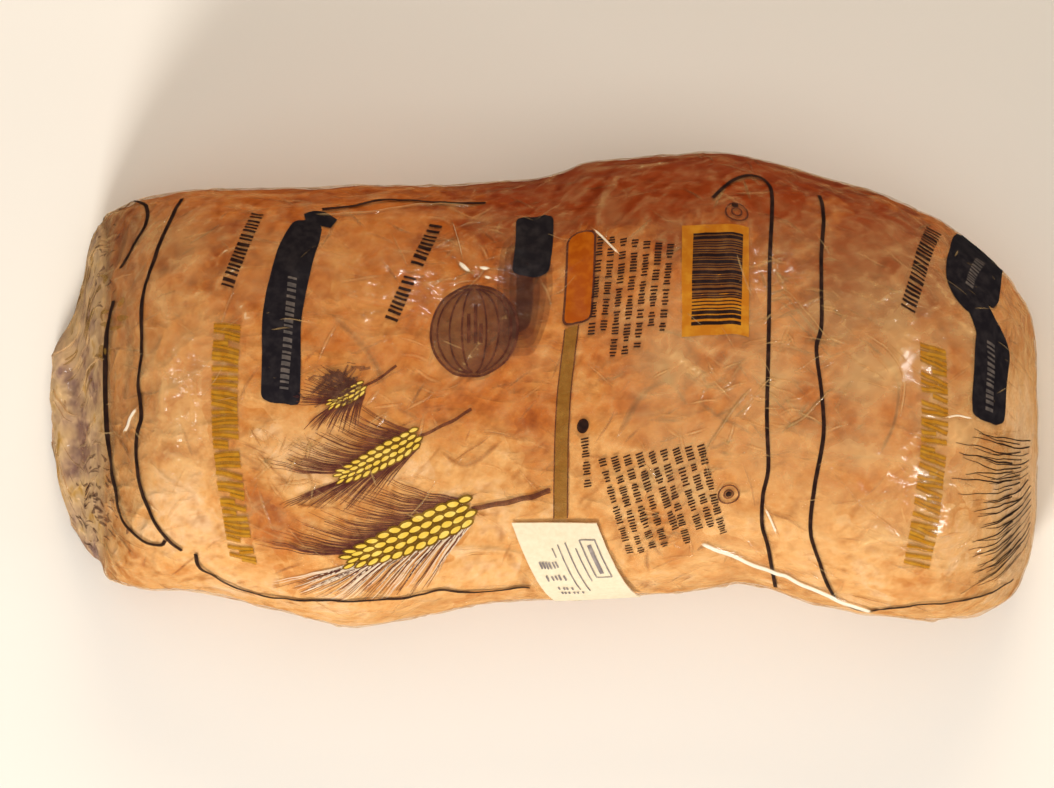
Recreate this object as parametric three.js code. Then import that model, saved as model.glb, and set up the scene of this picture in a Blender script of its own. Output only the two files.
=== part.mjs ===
// A long white loaf in a clear printed bag, lying on its flat underside, with a price label
// stuck on its front flank. Millimetres: X runs along the loaf, Y across it and Z up.
import * as THREE from "three";

// The bag's outline from the tip of its crumpled tail to the end that is tucked under.
// Each station holds how far the bag reaches to the back, to the front and up.
const stations = [
  { x: -147.5, back: 10.5, front: -15, top: 8 }, // tip of the tail
  { x: -144, back: 18, front: -35, top: 11 },
  { x: -138.5, back: 31, front: -48.5, top: 16 },
  { x: -135, back: 50.5, front: -53.5, top: 25 }, // the tail's square back corner
  { x: -129, back: 54.5, front: -57.5, top: 41 }, // the crust starts
  { x: -118, back: 57.5, front: -59, top: 61 },
  { x: -103, back: 59.5, front: -60, top: 72 },
  { x: -82, back: 60.5, front: -64.5, top: 79 },
  { x: -56, back: 60.5, front: -70.5, top: 82 }, // the left swell
  { x: -19, back: 61.5, front: -64, top: 80 },
  { x: 0, back: 63, front: -62.5, top: 79 },
  { x: 12, back: 68, front: -62, top: 81 }, // the loaf steps out at the back
  { x: 48, back: 70.5, front: -59.5, top: 86 },
  { x: 60, back: 69.5, front: -57.4, top: 86 }, // the waist in the front flank
  { x: 88, back: 62.5, front: -65.5, top: 85 },
  { x: 115, back: 51.5, front: -68.5, top: 79 },
  { x: 132, back: 39.5, front: -65, top: 66 },
  { x: 141, back: 31, front: -60, top: 50 },
  { x: 146, back: 20, front: -48, top: 30 },
  { x: 147.5, back: 9, front: -36, top: 16 }, // the tucked end
];

// Cross-section
const beltShare = 0.42; // the section is widest at this share of its height
const shoulderPower = 2.3; // how square the rounded top is
const flankPower = 2.8; // how square it is below the belt
const sink = 3; // how far the round underside is pressed flat
const belly = { ringCount: 62, ringSides: 48, endCrowding: 0.62 };

// Creases and folds
const valley = { fromX: 6, toX: 58, reach: 72, width: 11, depth: 3.2 }; // runs slantwise between the lobes
const pleats = { count: 11, depth: 2.2, tailLength: 26, tuckLength: 14 };

// Price label, as a flat sheet before it is bent onto the flank
const label = { width: 25, length: 40, lean: 19, cornerX: -9.5, cornerY: -38.5, lift: 0.4, thick: 0.45 };
const labelCells = { across: 8, along: 14 };

const firstX = stations[0].x;
const lastX = stations[stations.length - 1].x;

// A smooth value between the stations: a cubic with the neighbours' slopes.
function along(key, x) {
  const last = stations.length - 1;
  let i = 0;
  while (i < last - 1 && x > stations[i + 1].x) i += 1;
  const slope = (j) => {
    const a = stations[Math.max(j - 1, 0)];
    const b = stations[Math.min(j + 1, last)];
    return (b[key] - a[key]) / (b.x - a.x);
  };
  const a = stations[i];
  const b = stations[i + 1];
  const span = b.x - a.x;
  const t = THREE.MathUtils.clamp((x - a.x) / span, 0, 1);
  const t2 = t * t;
  const t3 = t2 * t;
  return (
    (2 * t3 - 3 * t2 + 1) * a[key] +
    (t3 - 2 * t2 + t) * span * slope(i) +
    (3 * t2 - 2 * t3) * b[key] +
    (t3 - t2) * span * slope(i + 1)
  );
}

const rounded = (value, power) => Math.sign(value) * Math.abs(value) ** (2 / power);

// How deep the slanting valley is under a point of the top.
function valleyDepth(x, y) {
  const middleX = THREE.MathUtils.mapLinear(y, valley.reach, -valley.reach, valley.fromX, valley.toX);
  const away = (x - middleX) / valley.width;
  return valley.depth * Math.exp(-away * away);
}

// How far the film's pleats stand in from the outline near each end. They start on the crust,
// are deepest halfway and run out flat at the tip.
function pleatDepth(x, turn) {
  const fromTail = 1 - (x - firstX) / pleats.tailLength;
  const fromTuck = 1 - (lastX - x) / pleats.tuckLength;
  const share = Math.max(fromTail, fromTuck, 0);
  return pleats.depth * Math.sin(Math.PI * share) * (0.5 + 0.5 * Math.cos(pleats.count * turn));
}

// A point of the bag's surface: turn 0 is the back, a quarter turn is the top.
function surfacePoint(x, turn) {
  const back = along("back", x);
  const front = along("front", x);
  const top = along("top", x);
  const belt = beltShare * top;
  const up = Math.sin(turn) >= 0;
  const power = up ? shoulderPower : flankPower;
  const inward = pleatDepth(x, turn);
  const y = (back + front) / 2 + ((back - front) / 2 - inward) * rounded(Math.cos(turn), power);
  const rise = rounded(Math.sin(turn), power);
  const z = up
    ? belt + (top - belt - inward) * rise - valleyDepth(x, y) * rise
    : belt + (belt + sink) * rise;
  return new THREE.Vector3(x, y, Math.max(z, 0));
}

// Rings crowd towards both ends, where the shape turns fastest.
function ringX(i) {
  const t = i / (belly.ringCount - 1);
  const eased = t - (belly.endCrowding * Math.sin(2 * Math.PI * t)) / (2 * Math.PI);
  return THREE.MathUtils.lerp(firstX, lastX, eased);
}

function indexedGeometry(points, faces) {
  const geometry = new THREE.BufferGeometry().setFromPoints(points);
  geometry.setIndex(faces);
  geometry.computeVertexNormals();
  return geometry;
}

// The bag: rings from the tail to the tucked end, with a fan of faces over each end.
function bagGeometry() {
  const { ringCount, ringSides } = belly;
  const points = [];
  const faces = [];
  for (let i = 0; i < ringCount; i += 1) {
    for (let j = 0; j < ringSides; j += 1) {
      points.push(surfacePoint(ringX(i), (2 * Math.PI * (j + 0.5)) / ringSides));
    }
  }
  const at = (i, j) => i * ringSides + (j % ringSides);
  for (let i = 0; i < ringCount - 1; i += 1) {
    for (let j = 0; j < ringSides; j += 1) {
      faces.push(at(i, j), at(i + 1, j + 1), at(i + 1, j));
      faces.push(at(i, j), at(i, j + 1), at(i + 1, j + 1));
    }
  }
  for (const ring of [0, ringCount - 1]) {
    const centre = new THREE.Vector3();
    for (let j = 0; j < ringSides; j += 1) centre.add(points[at(ring, j)]);
    const hub = points.push(centre.divideScalar(ringSides)) - 1;
    for (let j = 0; j < ringSides; j += 1) {
      const edge = ring === 0 ? [at(ring, j + 1), at(ring, j)] : [at(ring, j), at(ring, j + 1)];
      faces.push(hub, ...edge);
    }
  }
  return indexedGeometry(points, faces);
}

// Walks down the front flank from a starting Y by a length measured on the surface.
function flankPoint(x, startY, length, lift) {
  const step = 0.004;
  let turn = Math.PI / 2;
  let here = surfacePoint(x, turn);
  while (here.y > startY) here = surfacePoint(x, (turn += step));
  let walked = 0;
  while (walked < length) {
    const next = surfacePoint(x, (turn += step));
    walked += next.distanceTo(here);
    here = next;
  }
  const acrossStep = surfacePoint(x, turn + step).sub(surfacePoint(x, turn - step));
  const alongStep = surfacePoint(x + 1, turn).sub(surfacePoint(x - 1, turn));
  return here.addScaledVector(acrossStep.cross(alongStep).normalize(), lift);
}

// The price label: a thin sheet with two faces that follow the flank. The film under it is
// pulled askew, so its sides lean while its top edge stays level.
function labelGeometry() {
  const { across, along: rows } = labelCells;
  const lean = THREE.MathUtils.degToRad(label.lean);
  const points = [];
  for (const lift of [label.lift, label.lift + label.thick]) {
    for (let r = 0; r <= rows; r += 1) {
      for (let c = 0; c <= across; c += 1) {
        const u = (label.width * c) / across;
        const v = (label.length * r) / rows;
        const x = label.cornerX + u + v * Math.sin(lean);
        points.push(flankPoint(x, label.cornerY, v * Math.cos(lean), lift));
      }
    }
  }
  const layer = (rows + 1) * (across + 1);
  const at = (k, r, c) => k * layer + r * (across + 1) + c;
  const faces = [];
  const quad = (a, b, c, d) => faces.push(a, b, c, a, c, d);
  for (let r = 0; r < rows; r += 1) {
    for (let c = 0; c < across; c += 1) {
      quad(at(0, r, c), at(0, r, c + 1), at(0, r + 1, c + 1), at(0, r + 1, c));
      quad(at(1, r, c), at(1, r + 1, c), at(1, r + 1, c + 1), at(1, r, c + 1));
    }
  }
  for (let c = 0; c < across; c += 1) {
    quad(at(0, 0, c), at(1, 0, c), at(1, 0, c + 1), at(0, 0, c + 1));
    quad(at(0, rows, c + 1), at(1, rows, c + 1), at(1, rows, c), at(0, rows, c));
  }
  for (let r = 0; r < rows; r += 1) {
    quad(at(0, r + 1, 0), at(1, r + 1, 0), at(1, r, 0), at(0, r, 0));
    quad(at(0, r, across), at(1, r, across), at(1, r + 1, across), at(0, r + 1, across));
  }
  return indexedGeometry(points, faces);
}

function piece(name, geometry, colour, roughness) {
  const material = new THREE.MeshStandardMaterial({ color: colour, roughness, metalness: 0 });
  const mesh = new THREE.Mesh(geometry, material);
  mesh.name = name;
  return mesh;
}

const loaf = new THREE.Group();
loaf.add(piece("bag", bagGeometry(), 0xcb9257, 0.25));
loaf.add(piece("price_label", labelGeometry(), 0xfbeed2, 0.7));

// The origin is the middle of the footprint, at the height of the surface it lies on.
const box = new THREE.Box3().setFromObject(loaf);
const middle = box.getCenter(new THREE.Vector3());
loaf.position.set(-middle.x, -middle.y, -box.min.z);

export default loaf;
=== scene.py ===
# A long white loaf in a clear printed bag with a price label, lying on a pale studio floor.
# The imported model's frame: metres, X along the loaf, Y to its back, Z up.
# "mm" turns the sizes below to metres.
import math
import random
import bpy
import numpy as np
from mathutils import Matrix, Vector, noise
from mathutils.bvhtree import BVHTree


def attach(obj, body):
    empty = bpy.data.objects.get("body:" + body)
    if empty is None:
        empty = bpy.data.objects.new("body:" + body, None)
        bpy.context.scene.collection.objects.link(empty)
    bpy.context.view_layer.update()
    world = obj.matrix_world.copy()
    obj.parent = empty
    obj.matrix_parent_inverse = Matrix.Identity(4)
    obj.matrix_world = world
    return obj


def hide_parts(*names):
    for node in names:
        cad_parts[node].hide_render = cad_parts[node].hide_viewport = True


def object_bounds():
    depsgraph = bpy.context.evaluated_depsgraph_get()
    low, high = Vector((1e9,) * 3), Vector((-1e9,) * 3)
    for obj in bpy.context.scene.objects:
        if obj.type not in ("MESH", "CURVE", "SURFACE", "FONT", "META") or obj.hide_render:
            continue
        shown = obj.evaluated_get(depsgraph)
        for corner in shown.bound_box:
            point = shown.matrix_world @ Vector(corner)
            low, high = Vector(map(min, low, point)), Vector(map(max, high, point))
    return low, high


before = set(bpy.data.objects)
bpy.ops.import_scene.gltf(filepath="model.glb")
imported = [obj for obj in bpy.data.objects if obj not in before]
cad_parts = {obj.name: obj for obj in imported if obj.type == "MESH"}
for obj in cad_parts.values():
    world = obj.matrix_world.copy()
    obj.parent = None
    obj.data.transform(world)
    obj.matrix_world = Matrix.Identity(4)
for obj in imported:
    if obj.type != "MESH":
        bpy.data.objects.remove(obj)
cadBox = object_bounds()
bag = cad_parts["bag"]
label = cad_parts["price_label"]
mm = 0.001
noise.seed_set(4)  # the noise is the same in each run


# Small helpers
def pick(obj):
    bpy.ops.object.select_all(action="DESELECT")
    obj.select_set(True)
    bpy.context.view_layer.objects.active = obj


def applyModifier(obj, kind, name, **values):
    modifier = obj.modifiers.new(name, kind)
    for key, value in values.items():
        setattr(modifier, key, value)
    pick(obj)
    bpy.ops.object.modifier_apply(modifier=name)


def readPoints(obj):
    points = np.empty(len(obj.data.vertices) * 3)
    obj.data.vertices.foreach_get("co", points)
    return points.reshape(-1, 3)


def readNormals(obj):
    normals = np.empty(len(obj.data.vertices) * 3)
    obj.data.vertices.foreach_get("normal", normals)
    return normals.reshape(-1, 3)


def writePoints(obj, points):
    obj.data.vertices.foreach_set("co", np.ascontiguousarray(points, dtype=np.float32).ravel())
    obj.data.update()


def newTexture(name, kind, size):
    texture = bpy.data.textures.new(name, kind)
    texture.noise_scale = size
    return texture


def addObject(name, data):
    made = bpy.data.objects.new(name, data)
    bpy.context.scene.collection.objects.link(made)
    return made


def weightGroup(obj, name, weights):
    group = obj.vertex_groups.new(name=name)
    for i, weight in enumerate(weights):
        group.add([i], float(weight), "REPLACE")


def markPoints(obj, name, values):
    mark = obj.data.attributes.new(name, "FLOAT", "POINT")
    mark.data.foreach_set("value", values.ravel().astype(np.float32))


def smoothStep(value, low, high):
    t = np.clip((value - low) / (high - low), 0, 1)
    return t * t * (3 - 2 * t)


def tailShare(x, start, full):
    # 0 along the loaf and 1 in the gathered tail, with both ends of the rise in mm left of the middle
    return smoothStep(-x, start * mm, full * mm)


def lengthsAlong(points):
    return np.concatenate([[0], np.cumsum(np.linalg.norm(np.diff(points, axis=0), axis=1))])


# Materials
def newMaterial(name):
    material = bpy.data.materials.new(name)
    material.use_nodes = True
    return material, material.node_tree.nodes, material.node_tree.links


def addNode(nodes, kind, **values):
    node = nodes.new(kind)
    for key, value in values.items():
        if key in node.inputs:
            node.inputs[key].default_value = value
        else:
            setattr(node, key, value)
    return node


def objectNoise(nodes, links, scale, detail=4, roughness=0.55, stretch=(1, 1, 1)):
    where = addNode(nodes, "ShaderNodeTexCoord")
    mapping = addNode(nodes, "ShaderNodeMapping", Scale=stretch)
    links.new(where.outputs["Object"], mapping.inputs["Vector"])
    made = addNode(nodes, "ShaderNodeTexNoise", Scale=scale, Detail=detail, Roughness=roughness)
    links.new(mapping.outputs["Vector"], made.inputs["Vector"])
    return made


def rampOf(nodes, links, source, stops):
    ramp = addNode(nodes, "ShaderNodeValToRGB")
    links.new(source, ramp.inputs["Fac"])
    while len(ramp.color_ramp.elements) < len(stops):
        ramp.color_ramp.elements.new(0.5)
    for element, (place, colour) in zip(ramp.color_ramp.elements, stops):
        element.position = place
        element.color = (*colour, 1)
    return ramp


def mathNode(nodes, links, operation, *values, clamp=False):
    node = addNode(nodes, "ShaderNodeMath", operation=operation, use_clamp=clamp)
    for socket, value in zip(node.inputs, values):
        if isinstance(value, (int, float)):
            socket.default_value = value
        else:
            links.new(value, socket)
    return node.outputs[0]


def wrinkles(nodes, links, scale, stretch, detail=3):
    made = objectNoise(nodes, links, scale, detail=detail, roughness=0.5, stretch=stretch)
    made.noise_type = "RIDGED_MULTIFRACTAL"
    made.inputs["Offset"].default_value = 0.9
    made.inputs["Gain"].default_value = 1.4
    made.inputs["Distortion"].default_value = 0.5
    return made.outputs["Fac"]


def addBump(nodes, links, height, strength, distance, shaders):
    bump = addNode(nodes, "ShaderNodeBump", Strength=strength, Distance=distance)
    links.new(height, bump.inputs["Height"])
    for shader in shaders:
        links.new(bump.outputs["Normal"], shader.inputs["Normal"])


crustLook = {
    "stops": [
        (0.00, (0.88, 0.63, 0.41)),  # floury pale
        (0.25, (0.78, 0.45, 0.18)),  # tan
        (0.45, (0.63, 0.27, 0.068)),  # golden brown
        (0.70, (0.52, 0.15, 0.020)),  # orange brown
        (1.00, (0.29, 0.048, 0.006)),  # dark brown
    ],
    "mottleSize": 60,
    "speckleSize": 240,
    "wrinkleSize": 85,
    "wrinkleStretch": (0.55, 1, 1),
    "patchSize": 55,
    "warpSize": 70,
    "warp": (0.03, 0.03, 0.03),  # how far the patches' edges are bent
    "shares": (0.66, 0.34, -0.10, 0.20),  # of mottle, speckle, wrinkles and patches; the wrinkles' share is painted light and shade, ridges paler and hollows darker
    "paling": -0.53,
    "roughness": 0.62,
    "specular": 0.15,
    "bump": (0.8, 1.2 * mm),
}


def crustMaterial():
    material, nodes, links = newMaterial("baked_crust")
    shader = nodes["Principled BSDF"]
    total = addNode(nodes, "ShaderNodeAttribute", attribute_name="browning_and_painted_light").outputs["Fac"]
    mottle = objectNoise(nodes, links, crustLook["mottleSize"], detail=5, roughness=0.65).outputs["Fac"]
    speckle = objectNoise(nodes, links, crustLook["speckleSize"], detail=3, roughness=0.7).outputs["Fac"]
    skin = wrinkles(nodes, links, crustLook["wrinkleSize"], crustLook["wrinkleStretch"])
    warp = objectNoise(nodes, links, crustLook["warpSize"], detail=2)
    where = addNode(nodes, "ShaderNodeTexCoord")
    bent = addNode(nodes, "ShaderNodeVectorMath", operation="MULTIPLY_ADD")
    links.new(warp.outputs["Color"], bent.inputs[0])
    bent.inputs[1].default_value = crustLook["warp"]
    links.new(where.outputs["Object"], bent.inputs[2])
    patches = addNode(nodes, "ShaderNodeTexVoronoi", Scale=crustLook["patchSize"])
    links.new(bent.outputs[0], patches.inputs["Vector"])
    patch = addNode(nodes, "ShaderNodeSeparateColor")
    links.new(patches.outputs["Color"], patch.inputs[0])
    # the wrinkles' negative share paints shade into the skin's hollows
    for source, share in zip((mottle, speckle, skin, patch.outputs[0]), crustLook["shares"]):
        total = mathNode(nodes, links, "MULTIPLY_ADD", source, share, total)
    total = mathNode(nodes, links, "ADD", total, crustLook["paling"], clamp=True)
    ramp = rampOf(nodes, links, total, crustLook["stops"])
    links.new(ramp.outputs["Color"], shader.inputs["Base Color"])
    shader.inputs["Roughness"].default_value = crustLook["roughness"]
    shader.inputs["Specular IOR Level"].default_value = crustLook["specular"]
    addBump(nodes, links, skin, *crustLook["bump"], [shader])
    return material


filmLook = {
    "haze": 0.03,
    "ridgeHazeAndHighlight": 0.38,  # more where a crease stands up, partly a painted highlight
    "apartHaze": 0.14,  # and where the film stands off the crust
    "gatheredHaze": 0.45,  # and where it lies in many layers
    "crinkleHaze": 0.075,  # and in fine streaks
    "paintedHighlightHaze": 0.4,  # and along the sharpest folds, which are whiter: a painted highlight
    "hazeColour": (0.96, 0.64, 0.29),
    # the painted highlight's colour
    "paintedHighlightColour": (1.0, 0.93, 0.80),
    "gathered": [
        (0.34, (0.30, 0.18, 0.15)),
        (0.45, (0.68, 0.45, 0.27)),
        (0.58, (0.88, 0.60, 0.32)),
        (0.68, (0.66, 0.37, 0.08)),
    ],
    "clear": (1.0, 0.975, 0.93),
    "valley": (0.55, 0.35, 0.19),  # painted shade: the darker colour let through at a crease's foot
    "crinkleSize": 150,
    "crinkleStretch": (0.6, 1, 1),
    "blotchSize": 90,
    "roughness": 0.14,
    "ior": 1.45,
    "mostShine": 0.13,
    "bump": (0.3, 0.9 * mm),
}


def colourMix(nodes, links, share, a, b):
    node = addNode(nodes, "ShaderNodeMix", data_type="RGBA")
    links.new(share, node.inputs[0])
    node.inputs[6].default_value = (*a, 1)
    node.inputs[7].default_value = (*b, 1)
    return node.outputs[2]


def filmMaterial():
    material, nodes, links = newMaterial("clear_film")
    nodes.remove(nodes["Principled BSDF"])
    out = nodes["Material Output"]
    crease, apart, gathered = (
        addNode(nodes, "ShaderNodeAttribute", attribute_name=name).outputs["Fac"]
        for name in ("crease", "apart", "gathered")
    )
    # Raised creases get painted highlights in the haze, and dips get painted shade in what the film lets
    # through
    ridge = mathNode(nodes, links, "MAXIMUM", crease, 0.0)
    valley = mathNode(nodes, links, "MULTIPLY", crease, -1.0, clamp=True)
    clear = addNode(nodes, "ShaderNodeBsdfTransparent")
    links.new(colourMix(nodes, links, valley, filmLook["clear"], filmLook["valley"]), clear.inputs["Color"])
    haze = addNode(nodes, "ShaderNodeBsdfDiffuse")
    blotches = objectNoise(nodes, links, filmLook["blotchSize"], detail=3)
    layered = rampOf(nodes, links, blotches.outputs["Fac"], filmLook["gathered"]).outputs["Color"]
    crest = mathNode(nodes, links, "MULTIPLY_ADD", ridge, 2.0, -1.0, clamp=True)  # the sharper half, which gets the painted highlight
    tint = addNode(nodes, "ShaderNodeMix", data_type="RGBA")
    links.new(gathered, tint.inputs[0])
    links.new(colourMix(nodes, links, crest, filmLook["hazeColour"], filmLook["paintedHighlightColour"]), tint.inputs[6])
    links.new(layered, tint.inputs[7])
    crinkle = wrinkles(nodes, links, filmLook["crinkleSize"], filmLook["crinkleStretch"], detail=2)
    links.new(tint.outputs[2], haze.inputs["Color"])
    share = filmLook["haze"]
    hazes = {"ridgeHazeAndHighlight": ridge, "apartHaze": apart, "crinkleHaze": crinkle, "paintedHighlightHaze": crest}
    for more, source in hazes.items():
        share = mathNode(nodes, links, "MULTIPLY_ADD", source, filmLook[more], share)
    share = mathNode(nodes, links, "MULTIPLY_ADD", gathered, filmLook["gatheredHaze"], share, clamp=True)
    shine = addNode(nodes, "ShaderNodeBsdfAnisotropic", Color=(1, 1, 1, 1), Roughness=filmLook["roughness"])
    fresnel = addNode(nodes, "ShaderNodeFresnel", IOR=filmLook["ior"])
    shineShare = mathNode(nodes, links, "MINIMUM", fresnel.outputs[0], filmLook["mostShine"])
    hazeMix = addNode(nodes, "ShaderNodeMixShader")
    shineMix = addNode(nodes, "ShaderNodeMixShader")
    links.new(share, hazeMix.inputs[0])
    links.new(clear.outputs[0], hazeMix.inputs[1])
    links.new(haze.outputs[0], hazeMix.inputs[2])
    links.new(shineShare, shineMix.inputs[0])
    links.new(hazeMix.outputs[0], shineMix.inputs[1])
    links.new(shine.outputs[0], shineMix.inputs[2])
    links.new(shineMix.outputs[0], out.inputs["Surface"])
    addBump(nodes, links, crinkle, *filmLook["bump"], [shine, haze])
    return material


inkLook = {"wearSize": 350, "wear": (0.42, 0.72), "roughness": 0.35, "specular": 0.12}


def inkMaterial(name, colour, paler, alpha):
    material, nodes, links = newMaterial(name)
    shader = nodes["Principled BSDF"]
    wear = objectNoise(nodes, links, inkLook["wearSize"], detail=2)
    ramp = rampOf(nodes, links, wear.outputs["Fac"], list(zip(inkLook["wear"], (colour, paler))))
    links.new(ramp.outputs["Color"], shader.inputs["Base Color"])
    shader.inputs["Roughness"].default_value = inkLook["roughness"]
    shader.inputs["Specular IOR Level"].default_value = inkLook["specular"]
    shader.inputs["Alpha"].default_value = alpha
    return material


paperLook = {
    "fibreSize": 700,
    "stops": [(0.3, (0.76, 0.65, 0.47)), (0.7, (0.84, 0.74, 0.56))],
    "roughness": 0.55,
    "bump": (0.15, 0.2 * mm),
}


def paperMaterial():
    material, nodes, links = newMaterial("label_paper")
    shader = nodes["Principled BSDF"]
    fibre = objectNoise(nodes, links, paperLook["fibreSize"], detail=6).outputs["Fac"]
    ramp = rampOf(nodes, links, fibre, paperLook["stops"])
    links.new(ramp.outputs["Color"], shader.inputs["Base Color"])
    shader.inputs["Roughness"].default_value = paperLook["roughness"]
    addBump(nodes, links, fibre, *paperLook["bump"], [shader])
    return material


# The loaf: the bag's own shape a little smaller, with its end pushed in from the film's tail
loaf = {
    "gap": 0.6 * mm,
    "heelFrom": -129 * mm,
    "heelSqueeze": 0.6,
    "voxel": 1.6 * mm,
    "softening": 6,
    "relief": [("swells", 26 * mm, 2.4 * mm), ("dents", 10 * mm, 1.3 * mm), ("grain", 3 * mm, 0.5 * mm)],
    "sunkShare": 0.55,  # how much of the relief goes inwards
}
# Where the crust is baked darker or stays paler, and where it is painted lighter, in mm: middle, reach along
# and across, turn, amount
crustPatches = [
    (28, 59, 42, 14, 0, 0.60),  # dark back between the lobes
    (62, 62, 30, 9, -5, 0.25),
    (96, -5, 48, 42, 0, 0.26),
    (46, -14, 24, 34, 0, 0.12),
    (-80, -42, 9, 14, 15, 0.34),
    (-120, -52, 14, 10, 0, 0.16),
    (-15, 50, 24, 10, 5, 0.28),
    (-7, 26, 9, 28, 0, 0.22),
    (-3, -15, 9, 24, 8, 0.16),
    (-25, -3, 14, 10, 20, 0.33),
    (-80, -35, 14, 8, -50, 0.36),
    (-55, -38, 20, 9, 20, 0.26),
    (-75, -17, 12, 8, 0, -0.32),
    (-100, -33, 20, 15, 0, -0.20),
    (-103, 3, 14, 16, 0, -0.10),
    (28, 1, 16, 15, 0, 0.20),
    (92, 28, 26, 16, 0, 0.32),
    (-50, 52, 50, 14, 0, -0.16),
    (103, 45, 26, 11, -30, 0.20),
    (30, -5, 5, 17, -30, 0.14),
    (45, 2, 4, 14, 20, 0.10),
    (-108, -20, 7, 2.6, 15, 0.60),  # a torn spot
    (-131, 38, 6, 11, 0, 0.25),
    # the right end painted lighter: painted light where it turns away from the lamps
    (141, -15, 12, 34, 0, -0.60),
]
crustBrowningAndPaintedLight = {
    "middle": 0.55,
    "back": (0.28, 8, 60),  # more by this much, from and to these mm: darker baking towards the back, partly painted shade where the back turns from the key lamp
    # paler towards the front: painted light where the front faces the key lamp
    "front": (-0.29, -10, 45),
    "wander": 9,  # how far the patches' edges stray, in mm
    "wanderSize": 45,
    "wanderFrom": 8,  # narrower patches stray less
    "fade": 1.2,
}


def browningAndPaintedLightAt(points):
    x, y = points[:, 0] / mm, points[:, 1] / mm
    (back, *backSpan), (front, *frontSpan) = crustBrowningAndPaintedLight["back"], crustBrowningAndPaintedLight["front"]
    # The rise towards the back is partly painted shade, and the drop towards the front is painted light
    amount = crustBrowningAndPaintedLight["middle"] + back * smoothStep(y, *backSpan)
    amount += front * smoothStep(-y, *frontSpan)
    drift = np.array([noise.noise_vector(Vector(p) * crustBrowningAndPaintedLight["wanderSize"]) for p in points])
    drift *= crustBrowningAndPaintedLight["wander"]
    for middleX, middleY, reachX, reachY, turn, strength in crustPatches:
        c = math.cos(math.radians(turn))
        s = math.sin(math.radians(turn))
        share = min(1, reachY / crustBrowningAndPaintedLight["wanderFrom"])
        dx = x + drift[:, 0] * share - middleX
        dy = y + drift[:, 1] * share - middleY
        along = (dx * c + dy * s) / reachX
        across = (dy * c - dx * s) / reachY
        amount += strength * np.exp(-(along**2 + across**2) * crustBrowningAndPaintedLight["fade"])
    return amount


def copyOfBag(name):
    made = addObject(name, bag.data.copy())
    pick(made)
    bpy.ops.object.mode_set(mode="EDIT")
    bpy.ops.mesh.select_all(action="SELECT")
    bpy.ops.mesh.remove_doubles(threshold=0.01 * mm)
    bpy.ops.mesh.normals_make_consistent(inside=False)
    bpy.ops.object.mode_set(mode="OBJECT")
    made.data.materials.clear()
    return made


def buildCrust():
    crust = copyOfBag("loaf_crust")
    bpy.ops.object.mode_set(mode="EDIT")
    bpy.ops.mesh.select_all(action="DESELECT")
    bpy.ops.object.mode_set(mode="OBJECT")
    for vertex in crust.data.vertices:
        vertex.select = vertex.co.x < loaf["heelFrom"]
    bpy.ops.object.mode_set(mode="EDIT")
    bpy.ops.transform.resize(value=(loaf["heelSqueeze"], 1, 1), center_override=(loaf["heelFrom"], 0, 0))
    bpy.ops.mesh.select_all(action="SELECT")
    bpy.ops.transform.shrink_fatten(value=-loaf["gap"])
    bpy.ops.object.mode_set(mode="OBJECT")
    applyModifier(crust, "REMESH", "even", mode="VOXEL", voxel_size=loaf["voxel"])
    applyModifier(crust, "SMOOTH", "soften", factor=0.5, iterations=loaf["softening"])
    for name, size, strength in loaf["relief"]:
        texture = newTexture(name, "CLOUDS", size)
        applyModifier(crust, "DISPLACE", name, texture=texture, texture_coords="LOCAL", strength=strength,
                      mid_level=loaf["sunkShare"])
    markPoints(crust, "browning_and_painted_light", browningAndPaintedLightAt(readPoints(crust)))
    bpy.ops.object.shade_smooth()
    crust.data.materials.append(crustMaterial())
    return crust


crust = buildCrust()
print("loaf baked:", len(crust.data.polygons), "faces")


# The film: a flat sheet wrapped round the bag's shape from a seam under it, then simulated
sheet = {
    "rows": 144,  # along the loaf
    "columns": 150,  # round it
    "girth": 360 * mm,  # the flat sheet's width
    "endInset": 0.3 * mm,
    "probes": 600,  # steps in measuring the length over the top
    "above": 200 * mm,  # and how high they start
    "rays": 240,  # steps in measuring a ring
    "ringPoints": 96,  # the bag's own points that set a ring's middle
    "heart": 0.45,  # the middle's height, as a share of the top's
    "spareLength": 0.04,  # how much longer than the loaf the film is
    "spareGirth": 0.025,
    "creasing": [(22 * mm, 0.22 * mm), (9 * mm, 0.07 * mm)],  # uneven spare film: size and amount
    "tailFrom": -129 * mm,
    "tailCreasing": 0.5 * mm,
    "tailHold": 0.97,
    "tailSlack": 0.93,
    "tailEvening": 14,  # columns
    "frames": 24,
    "simScale": 10,
    "lowest": 0.2 * mm,
    "clearance": 0.25 * mm,
    "underLabel": 0.3 * mm,
    "labelReach": 6 * mm,
    "labelPull": (1.5 * mm, 5 * mm),  # fully pulled to the label, and not at all
}
# How the film drapes; at the simulation's size a unit is 100 mm
drape = {
    "quality": 4,
    "mass": 0.05,
    "tension_stiffness": 40,
    "compression_stiffness": 40,
    "shear_stiffness": 20,
    "bending_stiffness": 0.03,
    "tension_damping": 10,
    "compression_damping": 10,
    "shear_damping": 10,
    "air_damping": 2,
    "use_pressure": True,
    "uniform_pressure_force": -6,
}
coreSkin = 0.002
coreGrip = 12
clothGap = 0.004
shape = copyOfBag("film_shape")
shapeTree = BVHTree.FromObject(shape, bpy.context.evaluated_depsgraph_get())
shapePoints = readPoints(shape)
bpy.data.objects.remove(shape)


def ringMiddle(x):
    nearest = shapePoints[np.argsort(np.abs(shapePoints[:, 0] - x))[:sheet["ringPoints"]]]
    return (nearest[:, 1].min() + nearest[:, 1].max()) / 2, nearest[:, 2].max() * sheet["heart"]


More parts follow.
